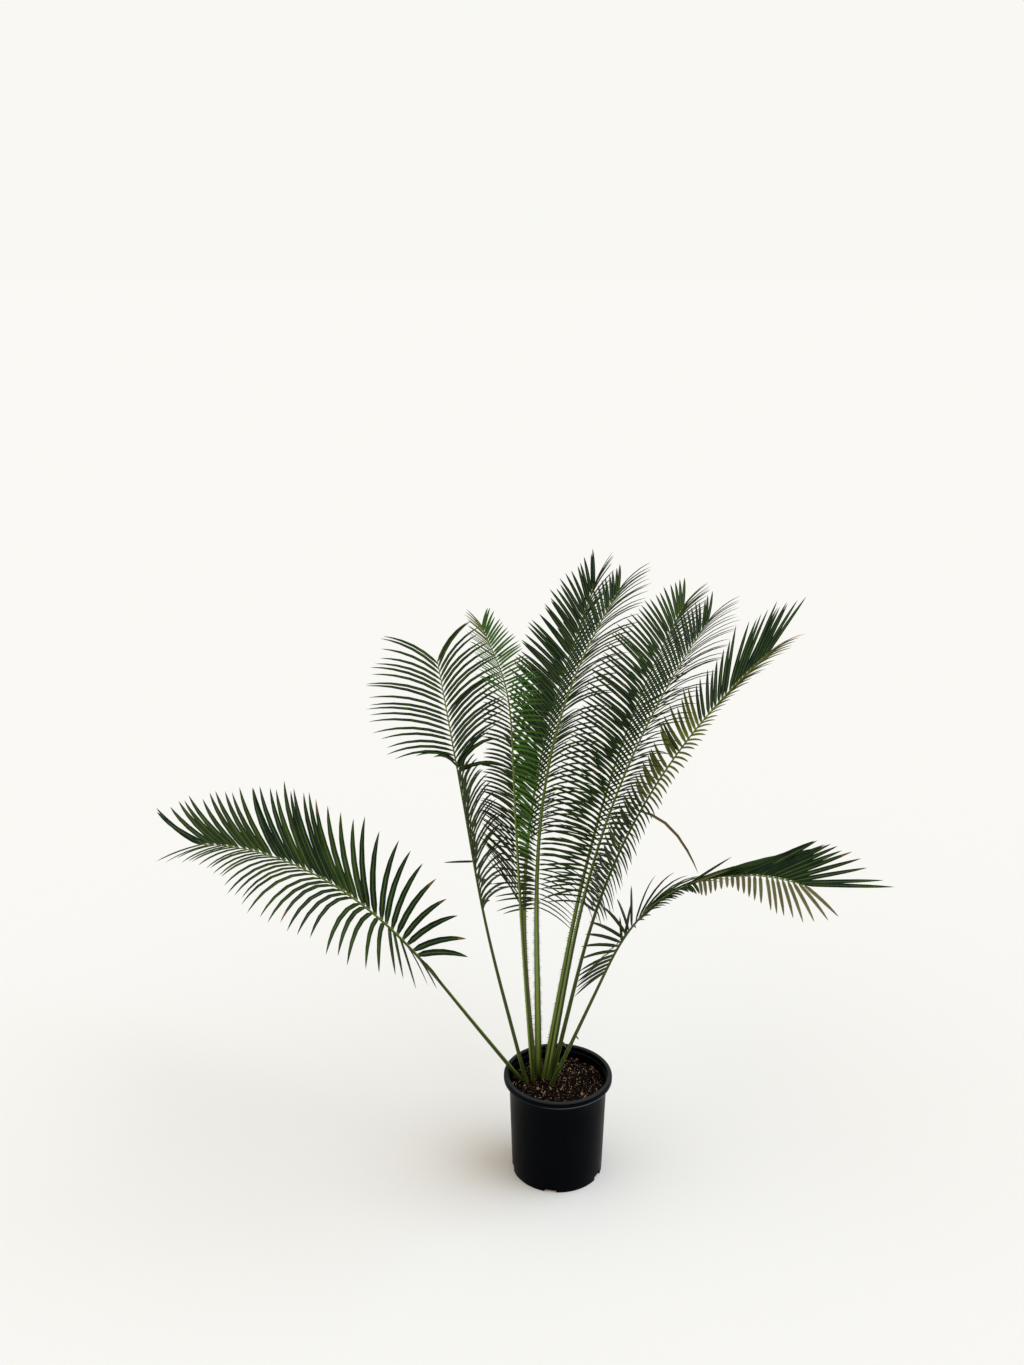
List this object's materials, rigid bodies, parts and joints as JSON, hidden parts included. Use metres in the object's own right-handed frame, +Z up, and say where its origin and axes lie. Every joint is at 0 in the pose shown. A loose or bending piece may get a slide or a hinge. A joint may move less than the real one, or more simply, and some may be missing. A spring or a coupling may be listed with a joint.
{
  "type": "potted cycad",
  "caption": "Potted cycad: long feathery fronds with narrow leaflets spread from bark compost in a plain black nursery pot.",
  "frame": {"origin": "middle of the pot's flat underside, on the ground", "axes": "+X to the plant's right along its widest spread, +Y to the back, +Z up"},
  "size_m": [1.6469, 0.8515, 1.4295],
  "materials": {
    "pot_plastic": "satin",
    "compost": "matte",
    "frond_green": "satin"
  },
  "bodies": {
    "root": {"pot": "pot_plastic", "soil": "compost", "frond_centre": "frond_green", "frond_centre_back": "frond_green", "frond_centre_front": "frond_green", "frond_far_left_lower": "frond_green", "frond_far_left_upper": "frond_green", "frond_far_right_lower": "frond_green", "frond_far_right_upper": "frond_green", "frond_left": "frond_green", "frond_right": "frond_green", "frond_right_back": "frond_green", "frond_right_middle": "frond_green"}
  },
  "joints": []
}
